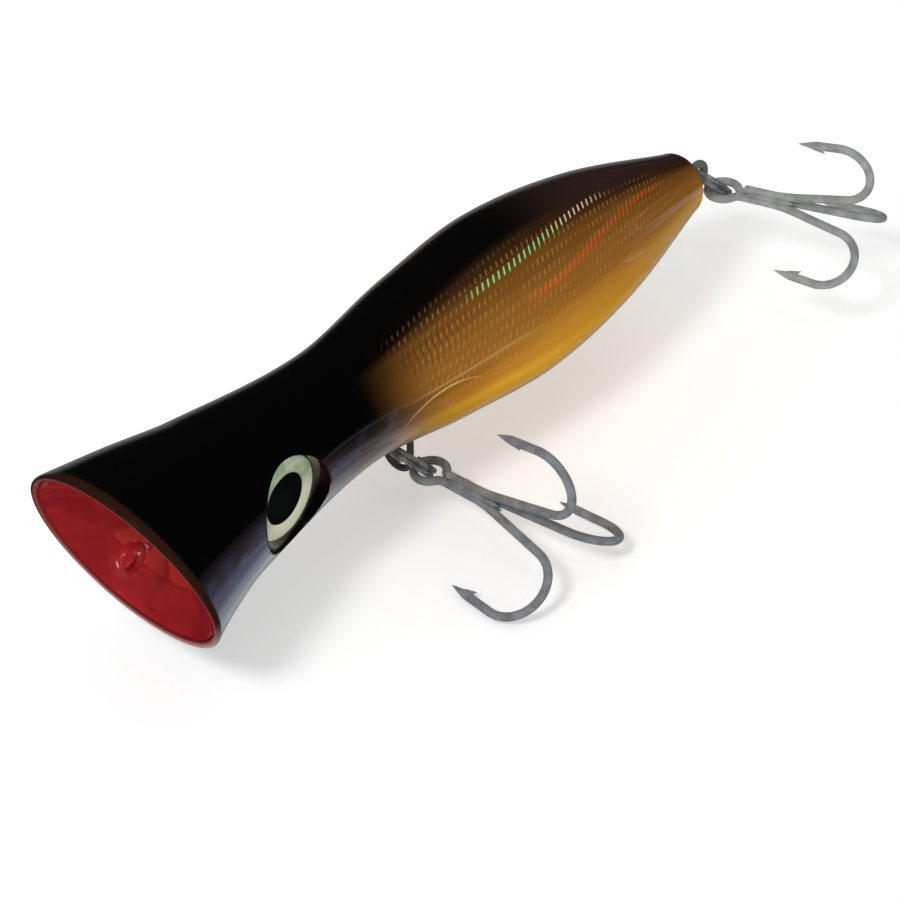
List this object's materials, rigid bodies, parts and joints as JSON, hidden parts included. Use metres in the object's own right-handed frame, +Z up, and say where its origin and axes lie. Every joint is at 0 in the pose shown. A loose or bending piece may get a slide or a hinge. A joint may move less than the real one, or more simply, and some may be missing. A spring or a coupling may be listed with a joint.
{
  "type": "topwater popper lure",
  "caption": "Hollow cup-mouthed surface lure on a through wire, with treble hooks hung on split rings.",
  "frame": {"origin": "centre of the tow eye, in the mouth cup", "axes": "+X from the mouth to the tail, +Y to the fish's right, +Z up to the back"},
  "size_m": [0.1812, 0.0632, 0.0464],
  "materials": {
    "body_plastic": "clear moulding, tinted amber and sprayed black on the head and back",
    "red_paint": "glossy red paint",
    "wire_steel": "drawn stainless wire, red paint on the tow eye",
    "link_steel": "dull stainless wire",
    "foil": "gold foil with a pressed scale pattern",
    "eye_print": "pearl ring with a black pupil",
    "clear_lens": "clear resin",
    "clear_tube": "clear moulding",
    "steel_ball": "polished ball",
    "weight_steel": "plain steel",
    "ring_steel": "nickel plated spring wire",
    "hook_dark": "dull grey hook plating",
    "hook_pale": "dull grey hook plating"
  },
  "bodies": {
    "body": {"shell_left": "body_plastic", "shell_right": "body_plastic", "mouth_cup": "red_paint", "through_wire": "wire_steel", "belly_link": "link_steel", "foil_left": "foil", "foil_right": "foil", "eye_disc_left": "eye_print", "eye_disc_right": "eye_print", "eye_lens_left": "clear_lens", "eye_lens_right": "clear_lens", "rattle_tube": "clear_tube", "rattle_cap": "clear_tube", "belly_weight": "weight_steel", "tail_weight": "weight_steel"},
    "rattle_ball": {"rattle_ball": "steel_ball"},
    "belly_ring": {"belly_split_ring": "ring_steel"},
    "belly_treble": {"belly_treble_double": "hook_dark", "belly_treble_single": "hook_dark"},
    "tail_ring": {"tail_split_ring": "ring_steel"},
    "tail_treble": {"tail_treble_double": "hook_pale", "tail_treble_single": "hook_pale"}
  },
  "joints": [
    {"name": "rattle_slide", "type": "slide", "parent": "body", "child": "rattle_ball", "axis": [1, 0, 0], "range_m": [0, 0.0164]},
    {"name": "belly_ring_swing", "type": "hinge", "parent": "body", "child": "belly_ring", "pos_m": [0.0657, 0, -0.0192], "axis": [1, 0, 0], "range_deg": [-10, 165]},
    {"name": "belly_treble_swing", "type": "hinge", "parent": "belly_ring", "child": "belly_treble", "pos_m": [0.06519, -0.00769, -0.01903], "axis": [0.6253, -0.038, -0.7794], "range_deg": [-24, 50]},
    {"name": "tail_ring_swing", "type": "hinge", "parent": "body", "child": "tail_ring", "pos_m": [0.1506, 0, -0.005], "axis": [0, 1, 0], "range_deg": [-75, 25]},
    {"name": "tail_treble_swing", "type": "hinge", "parent": "tail_ring", "child": "tail_treble", "pos_m": [0.15282, -0.00534, -0.00753], "axis": [0.6217, -0.076, -0.7796], "range_deg": [-30, 35]}
  ]
}
